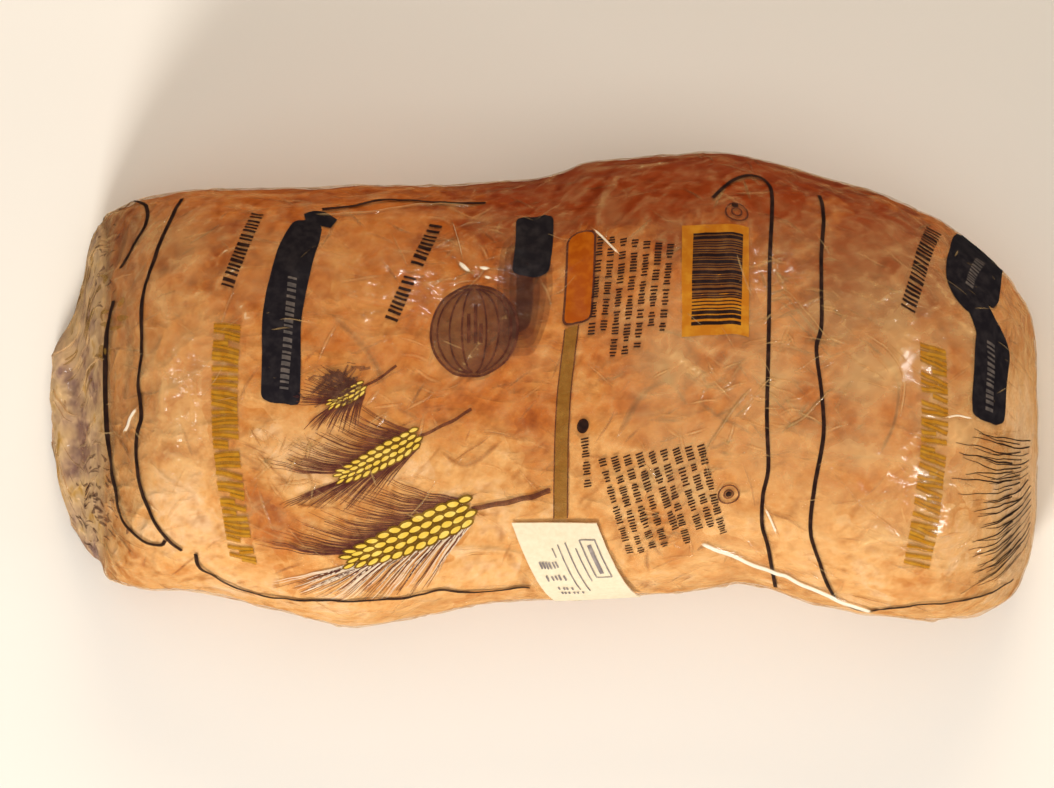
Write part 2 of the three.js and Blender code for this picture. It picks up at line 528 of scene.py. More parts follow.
def ringAt(x):
    # From the seam under the loaf up the front, over the top and down the back
    y, z = ringMiddle(x)
    points = []
    for k in range(sheet["rays"] + 1):
        angle = -math.pi / 2 - 2 * math.pi * k / sheet["rays"]
        hit = shapeTree.ray_cast(Vector((x, y, z)), Vector((0, math.cos(angle), math.sin(angle))))[0]
        points.append(hit if hit else Vector((x, y, z)))
    points = np.array(points)
    lengths = lengthsAlong(points)
    at = np.linspace(0, lengths[-1], sheet["columns"] + 1)
    return np.stack([np.interp(at, lengths, points[:, k]) for k in range(3)], axis=1)


def wrappedRings():
    ends = (cadBox[0].x + sheet["endInset"], cadBox[1].x - sheet["endInset"])
    xs = np.linspace(*ends, sheet["probes"])
    crest = []
    for x in xs:
        above = Vector((x, ringMiddle(x)[0], sheet["above"]))
        hit = shapeTree.ray_cast(above, Vector((0, 0, -1)))[0]
        crest.append(hit.z if hit else 0)
    lengths = np.concatenate([[0], np.cumsum(np.hypot(np.diff(xs), np.diff(crest)))])
    rowX = np.interp(np.linspace(0, lengths[-1], sheet["rows"] + 1), lengths, xs)
    rings = np.array([ringAt(x) for x in rowX])
    spread = np.hanning(2 * sheet["tailEvening"] + 3)[1:-1]
    spread /= spread.sum()
    for row in np.flatnonzero(rowX < sheet["tailFrom"]):  # no regular pleats in the tail
        for k in range(3):
            looped = np.pad(rings[row, :-1, k], sheet["tailEvening"], "wrap")
            evened = np.convolve(looped, spread, "valid")
            rings[row, :, k] = [*evened, evened[0]]
    for row in (0, -1):
        rings[row, :, 2] = rings[row, :, 2].mean()  # both ends shut on a flat line
    return rowX, rings


rowX, rings = wrappedRings()
columnV = np.linspace(-0.5, 0.5, sheet["columns"] + 1) * sheet["girth"]


def restShape(points):
    # The film before it is drawn on: longer and wider than the bag, by uneven amounts
    middle = np.array([0, (cadBox[0].y + cadBox[1].y) / 2, cadBox[1].z * sheet["heart"]])
    spare = 1 + np.array([sheet["spareLength"], sheet["spareGirth"], sheet["spareGirth"]])
    stretched = middle + (points - middle) * spare
    tail = tailShare(points[:, 0], 126, 134)
    largest = sheet["creasing"][0][0]
    for size, amount in sheet["creasing"]:
        wander = np.array([noise.noise_vector(Vector(p / size)) for p in points])
        stretched += wander * (amount + (sheet["tailCreasing"] * size / largest) * tail)[:, None]
    return stretched


def buildFilm():
    bpy.ops.object.select_all(action="DESELECT")
    bpy.ops.mesh.primitive_grid_add(x_subdivisions=sheet["columns"], y_subdivisions=sheet["rows"], size=1)
    film = bpy.context.active_object
    film.name = "film"
    flat = film.data.attributes.new("flat", "FLOAT_VECTOR", "POINT")
    flatPoints = np.zeros((sheet["rows"] + 1, sheet["columns"] + 1, 3), np.float32)
    flatPoints[..., 0] = rowX[:, None]
    flatPoints[..., 1] = columnV[None, :]
    flat.data.foreach_set("vector", flatPoints.ravel())
    writePoints(film, rings.reshape(-1, 3))
    pick(film)
    bpy.ops.object.mode_set(mode="EDIT")
    bpy.ops.mesh.select_all(action="SELECT")
    bpy.ops.mesh.flip_normals()
    bpy.ops.object.mode_set(mode="OBJECT")
    return film


def simulateFilm(film, crust):
    scale = sheet["simScale"]
    core = addObject("core", crust.data.copy())
    applyModifier(core, "DECIMATE", "lighter", ratio=0.25)
    bpy.ops.object.modifier_add(type="COLLISION")
    core.collision.thickness_outer = coreSkin
    core.collision.cloth_friction = coreGrip
    for obj in (core, film):
        obj.scale = (scale, scale, scale)
        pick(obj)
        bpy.ops.object.transform_apply(location=False, rotation=False, scale=True)
    film.shape_key_add(name="drawn")
    restKey = film.shape_key_add(name="cut")
    restPoints = restShape(rings.reshape(-1, 3)) * scale
    restKey.data.foreach_set("co", restPoints.astype(np.float32).ravel())
    held = sheet["tailHold"] * tailShare(rings[..., 0], 128, 135)
    held[[0, -1]] = 1
    held[:, [0, -1]] = 1
    weightGroup(film, "held", held.ravel())
    weightGroup(film, "pressed", 1 - sheet["tailSlack"] * tailShare(rings[..., 0].ravel(), 125, 131))
    cloth = film.modifiers.new("drape", "CLOTH")
    settings = cloth.settings
    for name, value in drape.items():
        setattr(settings, name, value)
    settings.rest_shape_key = restKey
    settings.vertex_group_pressure = "pressed"
    settings.vertex_group_mass = "held"
    settings.effector_weights.gravity = 0
    cloth.collision_settings.distance_min = clothGap
    for step in range(1, sheet["frames"] + 1):
        bpy.context.scene.frame_set(step)
    graph = bpy.context.evaluated_depsgraph_get()
    drawn = readPoints(film.evaluated_get(graph)) / scale
    bpy.data.objects.remove(core)
    film.modifiers.remove(cloth)
    film.shape_key_clear()
    film.vertex_groups.clear()
    return drawn


film = buildFilm()
print("film wrapped")
drawn = rings.reshape(-1, 3)
drawn = simulateFilm(film, crust)
print("film drawn on, lowest", round(drawn[:, 2].min() / mm, 2))
drawn[:, 2] = np.maximum(drawn[:, 2], sheet["lowest"])
writePoints(film, drawn)
applyModifier(film, "SUBSURF", "fine", levels=1, render_levels=1)


def onSheet(x, y):
    # Where a point seen from above, in mm, lies on the flat sheet
    row = np.interp(x * mm, rowX, np.arange(len(rowX)))
    low = min(int(row), len(rowX) - 2)
    ring = rings[low] + (rings[low + 1] - rings[low]) * (row - low)
    front = int(np.argmin(ring[:, 1]))
    back = int(np.argmax(ring[:, 1])) + 1
    return np.array([x, np.interp(y * mm, ring[front:back, 1], columnV[front:back]) / mm])


def smoothPath(corners, step=1.2):
    # A smooth line through the corners, in steps of about that length
    p = np.array(corners, float)
    p = np.vstack([2 * p[0] - p[1], p, 2 * p[-1] - p[-2]])
    line = []
    for a, b, c, d in zip(p[:-3], p[1:-2], p[2:-1], p[3:]):
        count = max(1, math.ceil(np.linalg.norm((c - b)[:2]) / step))
        t = np.arange(count)[:, None] / count
        line.append(b + 0.5 * t * (c - a + t * (2 * a - 5 * b + 4 * c - d + t * (3 * b - a - 3 * c + d))))
    return np.vstack([*line, p[-2:-1]])


def sheetPath(corners, step=1.2):
    # The same on the sheet, through points seen from above, with any further columns kept
    return smoothPath([[*onSheet(*c[:2]), *c[2:]] for c in corners], step)


def endTaper(path, reach):
    # From 0 at both ends to 1 at that reach from them
    lengths = lengthsAlong(path[:, :2])
    return np.clip(np.minimum(lengths, lengths[-1] - lengths) / reach, 0, 1)


# How the film is crumpled: facets, each with its size and depth, in the tail and everywhere
crumple = {
    "tail": [("tailLumps", 12 * mm, 2.6 * mm), ("tailFacets", 6 * mm, -1.4 * mm)],
    "everywhere": [("facets", 13 * mm, 1.1 * mm), ("fine", 5 * mm, -0.4 * mm)],
    "level": 0.3,
    "lift": (-0.7, 3),  # how far the swells may dip and rise, in mm
    "crestBend": 130,  # a bend that counts as a full crease
}
# A swell's section, in half-widths: a rounded ridge with a trough along one side
swell = {"reach": 4, "taper": 4, "roundness": 1.4, "trough": 0.45, "troughAt": 1.9}


# Low swells in the sheet and crisp folds on it: length, height and half-width in mm, how bent
# they are, which share of them dips, and how many
def foldKind(length, height, halfWidth, bow, dips, count=0):
    return dict(length=length, height=height, halfWidth=halfWidth, bow=bow, dips=dips, count=count)


straySwells = foldKind((8, 26), (0.2, 0.5), (1.8, 2.8), 0.08, 0.4, 130)
strayFolds = foldKind((2, 15), (0.12, 0.5), (0.3, 0.65), 0.05, 0.4, 820)
tailFolds = foldKind((4, 12), (0.2, 0.7), (0.5, 1.0), 0.08, 0.5, 60)
tightFolds = foldKind((2.5, 11), (0.3, 0.6), (0.4, 0.9), 0.05, 0.5)
# Where the photo shows many small folds together: from and to, in mm, and how many
tightSpots = [
    ((-86, -12), (-66, -32), 44),
    ((28, -24), (52, -48), 50),
    ((34, 8), (66, -20), 60),
    ((64, 36), (86, -16), 60),
    ((-34, 50), (-10, 28), 30),
    ((-56, 8), (-30, -12), 24),
    ((-132, 0), (-116, -40), 20),
]


def turned(way, degrees):
    c, s = math.cos(math.radians(degrees)), math.sin(math.radians(degrees))
    return np.array([way[0] * c - way[1] * s, way[0] * s + way[1] * c])


def readFlat(film):
    flat = np.empty(len(film.data.vertices) * 3)
    film.data.attributes["flat"].data.foreach_get("vector", flat)
    return flat.reshape(-1, 3)


def strewn(kind, chooser, start, end, count=None):
    made = []
    for _ in range(count or kind["count"]):
        middle = np.array([chooser.uniform(a, b) for a, b in zip(start, end)])
        way = turned((1, 0), chooser.triangular(-90, 90, chooser.choice((-35, 25))))
        half = way * chooser.uniform(*kind["length"]) / 2
        bow = turned(half, 90) * 2 * chooser.uniform(-kind["bow"], kind["bow"])
        path = smoothPath([middle - half, middle + bow, middle + half])
        height = chooser.uniform(*kind["height"]) * (-1 if chooser.random() < kind["dips"] else 1)
        made.append((path, height, chooser.uniform(*kind["halfWidth"])))
    return made


def raiseCrease(lift, flat, path, height, halfWidth):
    centre = (path.min(axis=0) + path.max(axis=0)) / 2
    reach = (path.max(axis=0) - path.min(axis=0)) / 2 + swell["reach"] * halfWidth
    near = np.flatnonzero((np.abs(flat[:, :2] - centre) < reach).all(axis=1))
    apart = np.linalg.norm(flat[near, None, :2] - path[None], axis=2)
    closest = apart.argmin(axis=1)
    way = np.gradient(path, axis=0)[closest]
    offset = flat[near, :2] - path[closest]
    side = np.sign(way[:, 0] * offset[:, 1] - way[:, 1] * offset[:, 0])
    away = apart[np.arange(len(near)), closest] / halfWidth
    heights = (height * endTaper(path, swell["taper"]))[closest]
    ridge = heights * np.exp(-(away ** swell["roundness"]))
    trough = -swell["trough"] * heights * np.exp(-((away - swell["troughAt"]) ** 2)) * (side > 0)
    lift[near] += ridge + trough


def crumpleFilm(film, facets, **where):
    for name, size, depth in facets:
        texture = newTexture(name, "VORONOI", size)
        texture.weight_1 = -1
        texture.weight_2 = 1
        applyModifier(film, "DISPLACE", name, texture=texture, texture_coords="LOCAL", strength=depth,
                      mid_level=crumple["level"], **where)


def creaseFilm(film):
    weightGroup(film, "tail", tailShare(readFlat(film)[:, 0], 130, 136))
    crumpleFilm(film, crumple["tail"], vertex_group="tail")
    film.vertex_groups.clear()
    crumpleFilm(film, crumple["everywhere"])
    flat = readFlat(film) / mm
    lift = np.zeros(len(flat))
    chooser = random.Random(5)
    for path, height, halfWidth in strewn(straySwells, chooser, (-130, -150), (143, 150)):
        raiseCrease(lift, flat, path, height, halfWidth)
    lift = np.clip(lift, *crumple["lift"]) * mm
    writePoints(film, readPoints(film) + readNormals(film) * lift[:, None])


def settleFilm(film, crust):
    # The film stays clear of the crust, above the floor, and lies against the label's back
    crustTree = BVHTree.FromObject(crust, bpy.context.evaluated_depsgraph_get())
    labelTree = BVHTree.FromObject(label, bpy.context.evaluated_depsgraph_get())
    points = readPoints(film)
    apart = np.zeros(len(points))
    for i, point in enumerate(points):
        here = Vector(point)
        spot, normal, _, _ = crustTree.find_nearest(here)
        clearance = (here - spot).dot(normal)
        if clearance < sheet["clearance"]:
            here = spot + normal * sheet["clearance"]
        apart[i] = max(clearance, sheet["clearance"])
        nearLabel = labelTree.find_nearest(here, sheet["labelReach"])
        if nearLabel[0]:
            face, out, _, _ = shapeTree.find_nearest(here)
            pull = 1 - smoothStep(nearLabel[3], *sheet["labelPull"])
            here = here.lerp(face + out * sheet["underLabel"], float(pull))
        points[i] = here
    points[:, 2] = np.maximum(points[:, 2], sheet["lowest"])
    writePoints(film, points)
    return apart


# Where the film is duller, in mm: middle, reach along and across, and amount
dullSpots = [
    (99, -9, 52, 46, 1.9),
    (46, -14, 26, 40, 1.5),
    (-110, 12, 16, 50, 1.3),
    (-85, 36, 34, 14, 0.7),
    (-72, -18, 12, 9, 1.0),
]
dullCloud = {"size": 70, "level": 0.75, "strength": 0.9, "least": 0.1, "most": 1.4}
clearBack = (0.6, 42, 60)  # clearer by this much, from and to these mm


def dullness(points):
    x, y = points[:, 0] / mm, points[:, 1] / mm
    amount = np.zeros(len(points))
    for middleX, middleY, reachX, reachY, strength in dullSpots:
        share = np.exp(-(((x - middleX) / reachX) ** 4) - ((y - middleY) / reachY) ** 4)
        amount = np.maximum(amount, strength * share)
    cloud = np.array([noise.fractal(Vector(p) * dullCloud["size"], 1.0, 2.0, 3) for p in points])
    cloud = np.clip(dullCloud["level"] + dullCloud["strength"] * cloud, dullCloud["least"], dullCloud["most"])
    return amount * cloud - clearBack[0] * smoothStep(y, *clearBack[1:])


def markFilm(film, apart):
    # How sharply the film stands up (above 0) or dips (below 0), how far it is off the crust,
    # and where it is gathered: all for its haze, the creasing also for painted highlights on ridges and
    # painted shade in dips
    points = readPoints(film)
    edges = np.empty(len(film.data.edges) * 2, int)
    film.data.edges.foreach_get("vertices", edges)
    a, b = edges.reshape(-1, 2).T
    reach = points[b] - points[a]
    pull = np.zeros((len(points), 3))
    np.add.at(pull, a, reach)
    np.add.at(pull, b, -reach)
    spread = np.zeros(len(points))
    for ends in (a, b):
        np.add.at(spread, ends, (reach**2).sum(axis=1))
    bend = -(pull * readNormals(film)).sum(axis=1) / np.maximum(spread, 1e-9)
    marks = {
        "crease": np.clip((bend - np.median(bend)) / crumple["crestBend"], -1, 1),
        "apart": smoothStep(apart, 0.3 * mm, 1.6 * mm) + dullness(points),
        "gathered": tailShare(readFlat(film)[:, 0], 127, 134),
    }
    for name, values in marks.items():
        markPoints(film, name, values)


creaseFilm(film)
markFilm(film, settleFilm(film, crust))
pick(film)
bpy.ops.object.shade_smooth()
film.data.materials.append(filmMaterial())
print("film creased:", len(film.data.polygons), "faces")


# Print on the film: flat ribbons of ink on the flat sheet, which then follow the drawn film
inkLifts = {  # above the flat sheet
    "under": 0.036 * mm,
    "low": 0.12 * mm,
    "overLow": 0.15 * mm,
    "middle": 0.18 * mm,
    "high": 0.24 * mm,
    "top": 0.312 * mm,
    "label": 0.85 * mm,
}
inkReach = ((-146, -170), (146, 170))  # in mm on the flat sheet
printed = []


def ribbons(name, strokes, across, material):
    # Each stroke is a path on the sheet with its width, in mm, at each point
    profile = bpy.data.curves.new("profile", "CURVE")
    profile.dimensions = "2D"
    edge = profile.splines.new("POLY")
    edge.points.add(across)
    for k, point in enumerate(edge.points):
        point.co = ((k / across - 0.5) * mm, 0, 0, 1)
    profileObject = addObject("profile", profile)
    curve = bpy.data.curves.new(name, "CURVE")
    curve.dimensions = "2D"
    curve.bevel_mode = "OBJECT"
    curve.bevel_object = profileObject
    for path, width in strokes:
        path = np.clip(path[:, :2], *inkReach)  # none runs off the sheet
        spline = curve.splines.new("POLY")
        spline.points.add(len(path) - 1)
        for point, place, wide in zip(spline.points, path, np.broadcast_to(width, len(path))):
            point.co = (place[0] * mm, place[1] * mm, 0, 1)
            point.radius = wide
    piece = addObject(name, curve)
    pick(piece)
    bpy.ops.object.convert(target="MESH")
    bpy.data.objects.remove(profileObject)
    piece.data.materials.append(material)
    printed.append(piece)
    return piece


def inkPiece(name, strokes, across, level, ink):
    material, slotName = inks[ink]
    piece = ribbons(name, strokes, across, material)
    points = readPoints(piece)
    points[:, 2] = inkLifts[level]
    writePoints(piece, points)
    return piece


# A fold's section, at five places across it: its height, and how creased the film is there, which paints a
# highlight along a raised crest, shade beside it and shade along a dip
foldShape = {
    "section": (0, 0.42, 1, 0.42, 0),
    "sunk": 0.06,  # in mm
    "endTaper": 3,
    "endWidth": 0.25,
    "raised": (-0.5, 0, 0.55, 0, -0.5),
    "dipped": (0, 0.5, 0.9, 0.5, 0),
    "tall": (0, 0.5, 0.55, 0.5, 0),
    # tall folds get a whiter crest: a painted highlight
    "tallFrom": 0.8,
    "fullFrom": 0.5,
    "gathered": 0.6,
}


def foldPiece(name, folds, material):
    # Folds of the film: path, height and half-width in mm, sharp along the middle
    strokes = []
    heights = []
    for path, height, halfWidth in folds:
        taper = endTaper(path, foldShape["endTaper"])
        strokes.append((path, 2 * halfWidth * (foldShape["endWidth"] + (1 - foldShape["endWidth"]) * taper)))
        heights.append(height * taper)
    piece = ribbons(name, strokes, len(foldShape["section"]) - 1, material)
    heights = np.concatenate(heights)[:, None]
    points = readPoints(piece).reshape(len(heights), -1, 3)
    points[..., 2] = (np.maximum(heights, 0) * foldShape["section"] - foldShape["sunk"]) * mm
    writePoints(piece, points.reshape(-1, 3))
    # how creased each point is, for the painted highlights and shade along the folds
    crests = np.where(heights > 0, foldShape["raised"], foldShape["dipped"])
    crests = np.where(heights > foldShape["tallFrom"], foldShape["tall"], crests)
    crests = crests * np.clip(heights / foldShape["fullFrom"], -1, 2)
    markPoints(piece, "crease", crests)
    markPoints(piece, "apart", crests * 0)
    markPoints(piece, "gathered", tailShare(points[:, :, 0], 127, 134) * foldShape["gathered"])
    pick(piece)
    bpy.ops.object.shade_smooth()


def roundedWidths(path, width, radius):
    t = 1 - endTaper(path, radius)
    return width - 2 * radius * (1 - np.sqrt(1 - t * t))


def straight(a, b, step=1.2):
    a, b = np.array(a, float), np.array(b, float)
    count = max(1, math.ceil(np.linalg.norm(b - a) / step))
    return a + (b - a) * np.linspace(0, 1, count + 1)[:, None]


def sideways(a, b):
    d = np.array(b, float) - np.array(a, float)
    length = np.linalg.norm(d)
    d /= length
    return d, np.array([-d[1], d[0]]), length


def crossStroke(middle, way, reach, wide):
    return (straight(middle - way * reach, middle + way * reach), wide)


def barRow(a, b, height, chooser, widths, gaps, spare=0):
    # Bars side by side from a to b, stopping short by the spare length
    along, side, length = sideways(a, b)
    strokes = []
    at = 0
    while at < length - spare:
        wide = chooser.choice(widths)
        strokes.append(crossStroke(a + along * (at + wide / 2), side, height / 2, wide))
        at += wide + chooser.choice(gaps)
    return strokes


# Each ink: name, colour, colour where it is worn, how opaque it is, and its slot
inks = {}
for name, colour, paler, alpha, slotName in (
    ("dark", (0.016, 0.008, 0.008), (0.045, 0.022, 0.016), 0.95, "ink_dark"),
    ("plum", (0.085, 0.025, 0.018), (0.17, 0.06, 0.035), 0.8, "ink_dark"),
    ("hair", (0.10, 0.028, 0.024), (0.20, 0.07, 0.045), 0.68, "ink_dark"),
    ("navy", (0.012, 0.010, 0.014), (0.026, 0.022, 0.026), 1.0, "ink_navy"),
    ("worn", (0.08, 0.07, 0.07), (0.17, 0.14, 0.13), 1.0, "ink_navy"),
    ("gold", (0.46, 0.19, 0.012), (0.56, 0.28, 0.025), 0.9, "ink_gold"),
    ("panel", (0.50, 0.17, 0.010), (0.60, 0.26, 0.02), 0.9, "ink_gold"),
    ("orange", (0.36, 0.07, 0.002), (0.46, 0.12, 0.005), 1.0, "ink_gold"),
    ("olive", (0.26, 0.12, 0.02), (0.34, 0.18, 0.035), 0.65, "ink_gold"),
    ("honey", (0.40, 0.18, 0.014), (0.48, 0.25, 0.03), 0.6, "ink_gold"),
    ("husk", (0.14, 0.07, 0.008), (0.24, 0.13, 0.02), 1.0, "ink_gold"),
    ("straw", (0.74, 0.50, 0.07), (0.80, 0.62, 0.16), 1.0, "ink_gold"),
    ("cream", (0.80, 0.66, 0.50), (0.88, 0.76, 0.60), 0.75, "ink_gold"),
    ("grey", (0.20, 0.17, 0.18), (0.36, 0.31, 0.29), 1.0, "ink_dark"),
    ("stain", (0.34, 0.17, 0.02), (0.46, 0.27, 0.05), 0.45, "ink_gold"),
    ("smoke", (0.10, 0.042, 0.032), (0.17, 0.08, 0.055), 0.52, "ink_dark"),
    ("dusk", (0.11, 0.035, 0.025), (0.17, 0.065, 0.045), 0.22, "ink_navy"),
):
    inks[name] = inkMaterial("ink_" + name, colour, paler, alpha), slotName

# The film's folds: the ones that the photo shows, then stray ones. The tallest carry a painted highlight
# along their crests, where the photo has glints
shownFolds = [
    ([(45, -45), (62, -51.6), (80, -59), (98, -66)], 1.2, 1.05),  # the long one, bright with a painted highlight
    ([(13.5, 48), (18.5, 43.5), (23.5, 38.5)], 0.9, 0.45),
    ([(93, 17), (101, 11), (105, 3), (104, -8)], 0.6, 0.6),  # the arc at the right
    ([(92, 15.5), (99.5, 9.5), (103.4, 2), (102.4, -9), (98, -19)], -0.5, 0.6),
    ([(-25.5, 38.5), (-23, 36), (-20.5, 34.2)], 1.5, 1.0),
    ([(-20, 36.6), (-17.5, 35.8), (-14.5, 35.6)], 1.5, 0.9),
    ([(-18.5, 33.8), (-16, 33), (-14, 32.6)], 1.4, 0.9),
    ([(-27, 50), (-25, 44), (-23.5, 38)], 0.8, 0.35),
    ([(115, -8), (121, -7.5), (127, -8.5)], 0.9, 0.5),
    ([(-125, -14), (-121.5, -8), (-119, -4)], 0.9, 0.6),
    ([(64, -33), (66.5, -38), (69, -44)], 0.9, 0.6),
    ([(68, 29), (75, 22), (83, 13)], -0.5, 0.5),
    ([(69, 30), (76, 23), (84, 14)], 0.5, 0.5),
    ([(70, 23), (78, 16), (85, 8)], -0.5, 0.5),
    ([(68, -2), (76, -8), (84, -11)], -0.5, 0.6),
    ([(83, 0), (76, -8), (69, -13)], -0.5, 0.5),
    ([(84, 1), (77, -7), (70, -12)], 0.5, 0.5),
    ([(39, 4), (29, -1.5), (22, -13)], -0.4, 1.2),
    ([(44, -3), (53, -9), (62, -14)], -0.4, 0.7),
    ([(60, 0), (52, -10), (46, -19)], -0.4, 0.7),
    ([(61, 1), (53, -9), (47, -18)], 0.5, 0.5),
    ([(-68, 52), (-50, 52), (-36, 54.5), (-20, 54)], 0.6, 0.7),
    ([(-62, 22), (-52, 12), (-46, 1)], -0.35, 1.1),
    ([(-30, -18), (-22, -22), (-12, -15)], -0.4, 0.9),
    ([(-124, 22), (-123, 10), (-124, -4)], -0.3, 0.9),
]


def filmFolds():
    chooser = random.Random(9)
    folds = [(sheetPath(corners), height, halfWidth) for corners, height, halfWidth in shownFolds]
    folds += strewn(strayFolds, chooser, (-130, -110), (142, 110))
    folds += strewn(tailFolds, chooser, (-145, -110), (-131, 110))
    for start, end, count in tightSpots:
        folds += strewn(tightFolds, chooser, onSheet(*start), onSheet(*end), count)
    return folds


foldPiece("film_folds", filmFolds(), film.data.materials[0])

# The frame's thin lines, from the tail to the tucked end
frameLines = {
    "width": 1.15,
    "paths": [
        [(-134.5, 51.5), (-127.5, 54), (-119, 55.5), (-117, 53.5), (-117.5, 48), (-122.5, 40.5),
         (-125.5, 36)],
        [(-127.5, 26.5), (-129.5, 16), (-130, 4.5), (-129.5, -10.5), (-127.5, -25), (-124, -37.5),
         (-118, -44.5), (-113, -46), (-111.5, -44.5)],
        [(-106.5, 56.5), (-110, 50), (-114.5, 38.5), (-118, 26.5), (-119, 12), (-120, 1.5), (-118.5, -7.5),
         (-120, -13.5), (-119.5, -25), (-115.5, -37), (-110.5, -44.5), (-106.5, -47.5)],
        [(-102.5, -48.5), (-101, -53), (-93, -57.5), (-81, -61), (-63, -62), (-48.5, -62), (-36.5, -60),
         (-29.5, -58.5), (-19, -59.5), (-4, -58.5)],
        [(-65, 53), (-54, 54.2), (-41, 55.6), (-25, 54.6), (-17, 55)],
        [(49.5, 56.5), (55, 61.5), (61, 63), (65.5, 61.5), (67, 56.5), (66, 38.5), (65.5, 16), (65, -7.5),
         (65.5, -22.5), (64, -31), (64, -40), (66, -47.5), (68.5, -58)],
        [(81, 57.5), (82, 51.5), (81, 37), (81, 19), (79.5, 12), (81, -1.5), (81.5, -13.5), (79, -28),
         (78, -41.5), (81, -52), (84, -59), (88, -63.5), (94.5, -65.5), (102.5, -64.5), (114.5, -63),
         (129, -61), (139, -56)],
    ],
}
frameStrokes = [(sheetPath(path), frameLines["width"]) for path in frameLines["paths"]]
inkPiece("frame_lines", frameStrokes, 2, "middle", "dark")


# Words as rows of plain short bars
wordBar = {"widths": (0.7, 0.9, 1.3), "gaps": (0.6, 0.8, 1.2), "spare": 1.5}
words = [
    ((-84, 52), (-93.5, 28.5), 3.8),
    ((-31.5, 48.5), (-37.5, 36), 4),
    ((-39, 33), (-45.5, 18.5), 4),
    ((115, 47), (106, 22), 4.2),
]


def wordBars(rows, chooser):
    strokes = []
    for start, end, height in rows:
        strokes += barRow(onSheet(*start), onSheet(*end), height, chooser, **wordBar)
    return strokes


inkPiece("word_bars", wordBars(words, random.Random(4)), 2, "middle", "dark")


# Lines of small print as rows of short ticks, in groups
tick = {
    "wide": 0.5,
    "reaches": (0.5, 0.5, 0.36),
    "gaps": (0.3, 0.4, 0.55),
    "perWord": (3, 8),
    "wordGap": 1.1,
}


def tickRow(start, end, height, chooser):
    a, b = onSheet(*start), onSheet(*end)
    along, side, length = sideways(a, b)
    strokes = []
    at = 0
    while at < length - 1:
        for _ in range(chooser.randint(*tick["perWord"])):
            middle = a + along * (at + tick["wide"] / 2)
            strokes.append(crossStroke(middle, side * height, chooser.choice(tick["reaches"]), tick["wide"]))
            at += tick["wide"] + chooser.choice(tick["gaps"])
            if at > length - 0.6:
                break
        at += tick["wordGap"]
    return strokes


def printSmall():
    chooser = random.Random(11)
    strokes = []
    for k in range(7):  # beside the tab
        top = (16.8 + 3.4 * k, 45 - 0.4 * k)
        drop = chooser.uniform(24, 35)
        strokes += tickRow(top, (top[0] - 0.09 * drop - 0.4, top[1] - drop), 2, chooser)
    strokes += tickRow((12, -14), (13, -29), 2.2, chooser)
    for k in range(9):  # the fan beside the label
        top = (17 + 3.6 * k, -20 + 0.5 * k)
        drop = 27 + chooser.uniform(-3, 2)
        strokes += tickRow(top, (top[0] + 8.5 - 0.2 * k, top[1] - drop), 2.1, chooser)
    return strokes


inkPiece("small_print", printSmall(), 2, "middle", "dark")


# Barcode on its gold panel
barcode = {
    "panelTop": (50.2, 48.5),
    "panelFoot": (50, 16),
    "panelWidth": 19.5,
    "barsTop": (51, 46),
    "barsFoot": (50.2, 19.5),
    "shadeFoot": (50.5, 27),
    "barLength": 14.5,
    "widths": (0.35, 0.35, 0.7, 1.05),
    "gaps": (0.35, 0.4, 0.7),
}


def printBarcode():
    panel = straight(onSheet(*barcode["panelTop"]), onSheet(*barcode["panelFoot"]), 1)
    inkPiece("barcode_panel", [(panel, barcode["panelWidth"])], 12, "low", "panel")
    top = onSheet(*barcode["barsTop"])
    shade = straight(top, onSheet(*barcode["shadeFoot"]), 1)
    inkPiece("barcode_shade", [(shade, barcode["barLength"])], 9, "overLow", "smoke")
    bars = barRow(top, onSheet(*barcode["barsFoot"]), barcode["barLength"], random.Random(7),
                  barcode["widths"], barcode["gaps"])
    inkPiece("barcode_bars", bars, 1, "middle", "dark")


printBarcode()

# Dark banners with worn marks
banners = [
    [(-68.5, 50, 8), (-71, 44, 10.5), (-74, 35, 11.2), (-76.5, 22, 11.4), (-76.7, 8.5, 11.4),
     (-77, -4, 11.4)],
    [(-2.5, 50.5, 11), (-2.8, 42, 11), (-4, 33, 11)],
    [(130.5, 41, 12), (127, 35, 16), (125.5, 28, 13), (129, 22, 9), (132, 14, 10.5), (131, 4, 10.5),
     (130.5, -9.5, 10.5)],
]
bannerCorner = 2.6
bannerTip = [(-70, 50.5), (-66, 50.8), (-61.5, 49)]
bannerShade = {
    "path": [(-6, 46, 11), (-5.5, 34, 16), (-6, 22, 15), (-8.5, 10, 10)],
    "layers": [(0, 1.0), (3, 0.78), (6, 0.55), (9, 0.3)],  # steps off both ends, and share of the width
    "step": 0.02 * mm,
}
bannerMarks = [((-73.5, 33), (-76, -1), 2.6), ((129, 38), (125, 30), 2.4), ((131.5, 14), (130.5, -7), 2.4)]


def printBanners():
    strokes = []
    for corners in banners:
        path = sheetPath(corners, 0.8)
        strokes.append((path, roundedWidths(path, path[:, 2], bannerCorner)))
    tip = sheetPath(bannerTip, 0.8)
    strokes.append((tip, 4 + 2 * endTaper(tip, 4)))
    inkPiece("banners", strokes, 9, "low", "navy")
    shade = sheetPath(bannerShade["path"], 0.8)
    soft = []
    for skipped, share in bannerShade["layers"]:
        path = shade[skipped:len(shade) - skipped]
        soft.append((path, roundedWidths(path, path[:, 2] * share, 4)))
    piece = inkPiece("banner_shade", soft, 9, "under", "dusk")
    points = readPoints(piece)
    layer = np.repeat(np.arange(len(soft)), [10 * len(path) for path, width in soft])
    points[:, 2] += layer * bannerShade["step"]
    writePoints(piece, points)
    marks = wordBars(bannerMarks, random.Random(3))
    inkPiece("banner_marks", marks, 1, "middle", "worn")


printBanners()

